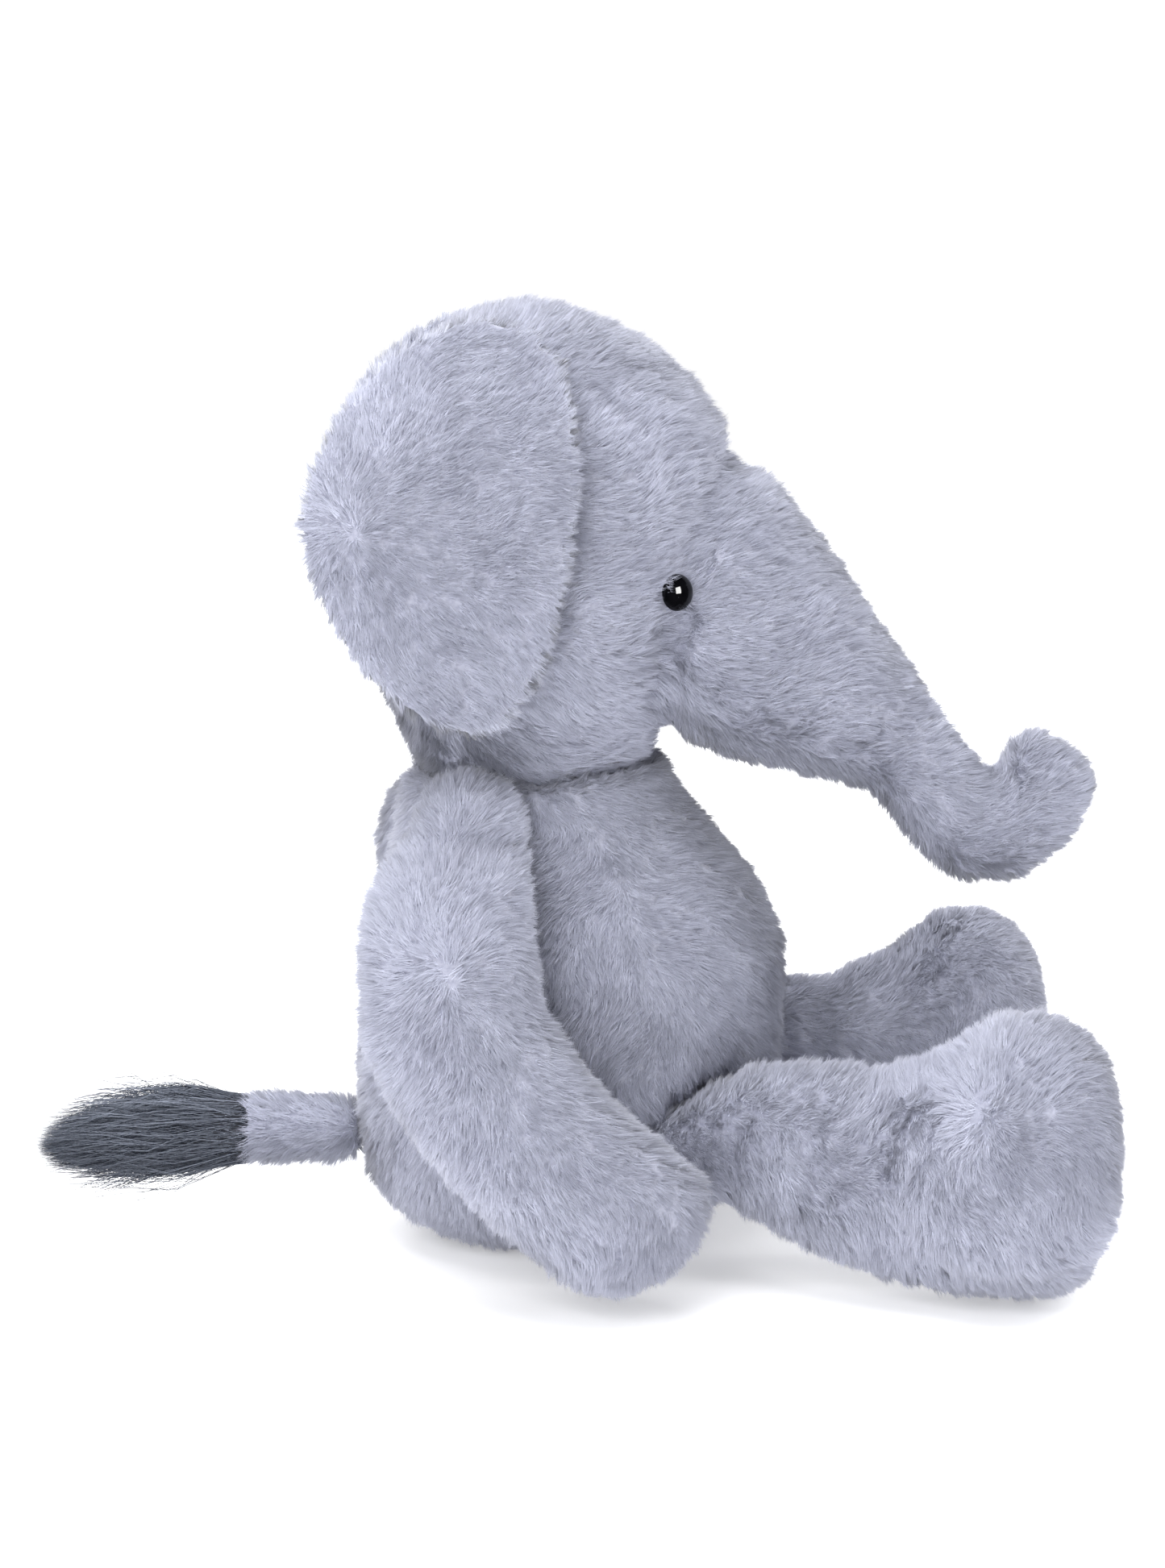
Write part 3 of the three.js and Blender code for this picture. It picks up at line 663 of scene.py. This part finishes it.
def grow_tuft():
    """Long coarse hair from the tuft's core, swept back past its end, with some stray ends."""
    rng = np.random.default_rng(SEED + 90)
    spots, facing = scatter(tuft.data, TUFT_HAIRS, rng)
    low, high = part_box("tail_tuft")
    along = (spots[:, 1] - low[1]) / (high[1] - low[1])
    early = along < rng.uniform(0.1, 0.95, len(spots))
    spots = spots[early]
    facing = facing[early]
    along = along[early]
    count = len(spots)
    sideways = np.array((1, 0, 1))
    spread = rng.normal(scale=TUFT_SPREAD, size=spots.shape)
    stray = rng.uniform(size=count) < TUFT_STRAYS
    lift = np.where(stray, rng.uniform(0.15, 0.4, count), rng.uniform(-0.04, 0.05, count))[:, None]
    aim = unit(np.array((0, 1, 0)) + spread + facing * sideways * lift)
    reach = ((1.05 - along) * rng.uniform(0.45, 1, count))[:, None]
    length = TUFT_REACH * reach + TUFT_SHORTEST
    bow = np.cross(aim, unit(rng.normal(size=spots.shape))) * length * TUFT_BOW
    end = along + length[:, 0] / (high[1] - low[1])
    narrow = 1 - ((np.clip(1.12 - end, 0.015, 1) / (1.15 - along)) ** TUFT_TAPER)[:, None]
    axis = np.array(((low[0] + high[0]) / 2, 0, low[2] + TUFT_AXIS))
    close = (axis - spots) * sideways * narrow
    path = [spots - aim * 0.002]
    for share in (0.33, 0.66, 1.0):
        drawn = close * share ** 1.6
        path.append(spots + aim * length * share + drawn + bow * math.sin(share * 5))
    side = unit(np.cross(facing, aim)) * rng.uniform(*HAIR_RADII, count)[:, None]
    rise = unit(np.cross(aim, side)) * np.linalg.norm(side, axis=1, keepdims=True)
    shade = np.clip(np.round(rng.normal(HAIR_USUAL, 1.0, count)), 0, HAIR_SHADES - 1).astype(int)
    hair = strand_mesh("tuft_hair", path, side, rise, facing, shade, HAIR)
    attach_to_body(hair, "tail")


grow_tuft()


# ------------------------------------------------------------ hidden pieces

def finish_node(node, material):
    """Gives a CAD node that stays its own material."""
    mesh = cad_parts[node].data
    mesh.materials.clear()
    mesh.materials.append(material)


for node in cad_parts:
    if "stuffing" in node:
        finish_node(node, FIBRE)
    elif "washer" in node:
        finish_node(node, NYLON)
finish_node("pellet_bag", BAG)


# ------------------------------------------------------------ stage and camera

def make_stage():
    """A plain pale round floor that curves up into a low wall on every side."""
    rise = [math.radians(90 * k / STAGE_STEPS) for k in range(STAGE_STEPS + 1)]
    outline = [(STAGE_FLOOR + STAGE_CURVE * math.sin(a), STAGE_CURVE * (1 - math.cos(a))) for a in rise]
    outline.append((STAGE_FLOOR + STAGE_CURVE, STAGE_HEIGHT))
    turns = [2 * math.pi * k / STAGE_AROUND for k in range(STAGE_AROUND)]
    vertices = []
    for reach, height in outline:
        vertices += [(reach * math.cos(a), reach * math.sin(a), height) for a in turns]
    faces = [list(range(STAGE_AROUND))]
    faces += [face[::-1] for face in ring_faces(len(outline), STAGE_AROUND)]
    mesh = bpy.data.meshes.new("stage_floor")
    mesh.from_pydata(vertices, [], faces)
    mesh.shade_smooth()
    paper = textured("stage_paper", (0.93, 0.93, 0.94), (0.95, 0.95, 0.96), 0.9, 40)
    glow = paper.node_tree.nodes["Principled BSDF"]
    glow.inputs["Emission Color"].default_value = (1, 1, 1, 1)
    glow.inputs["Emission Strength"].default_value = PAPER_GLOW
    mesh.materials.append(paper)
    floor = new_object("stage_floor", mesh)
    floor.visible_glossy = False


def add_light(name, place, size, power, target=(0, 0, 0.15), glint=False):
    """A square lamp. Only a glint lamp is mirrored in the eyes, and it lights nothing softly."""
    light = bpy.data.lights.new(name, "AREA")
    light.size = size
    light.energy = power
    lamp = new_object(name, light)
    lamp.visible_camera = False
    lamp.visible_glossy = glint
    lamp.visible_diffuse = not glint
    lamp.location = place
    lamp.rotation_euler = (Vector(target) - Vector(place)).to_track_quat("-Z", "Y").to_euler()


def add_camera():
    """A long lens at the elephant's right side, a little above it."""
    lens = bpy.data.cameras.new("camera")
    lens.lens = CAMERA_LENS
    lens.sensor_width = CAMERA_SENSOR
    camera = new_object("camera", lens)
    away = Vector((-math.cos(CAMERA_ELEVATION), 0, math.sin(CAMERA_ELEVATION)))
    camera.location = Vector(CAMERA_TARGET) + away * CAMERA_DISTANCE
    camera.rotation_euler = (-away).to_track_quat("-Z", "Y").to_euler()
    bpy.context.scene.camera = camera


make_stage()
add_light("top", (-0.1, 0.1, 1.25), 1.0, 16)
add_light("key", (-1.15, 0.5, 0.85), 0.8, 11.5, (-0.05, 0.03, 0.22))
for mirror in (1, -1):
    add_light("glint", (mirror * 1.08, -1.1, 0.62), 0.75, 125, (mirror * 0.05, -0.03, 0.22), glint=True)
add_light("front", (0.2, -1.6, 1.6), 1.2, 12)
add_light("far", (1.4, 0.3, 0.9), 0.9, 10)
world = bpy.data.worlds.new("studio")
world.use_nodes = True
background = world.node_tree.nodes["Background"]
background.inputs["Color"].default_value = (1, 1, 1, 1)
background.inputs["Strength"].default_value = WORLD_GLOW
bpy.context.scene.world = world
world.cycles_visibility.glossy = False
bpy.context.scene.view_settings.view_transform = "Standard"
add_camera()

bpy.context.view_layer.update()
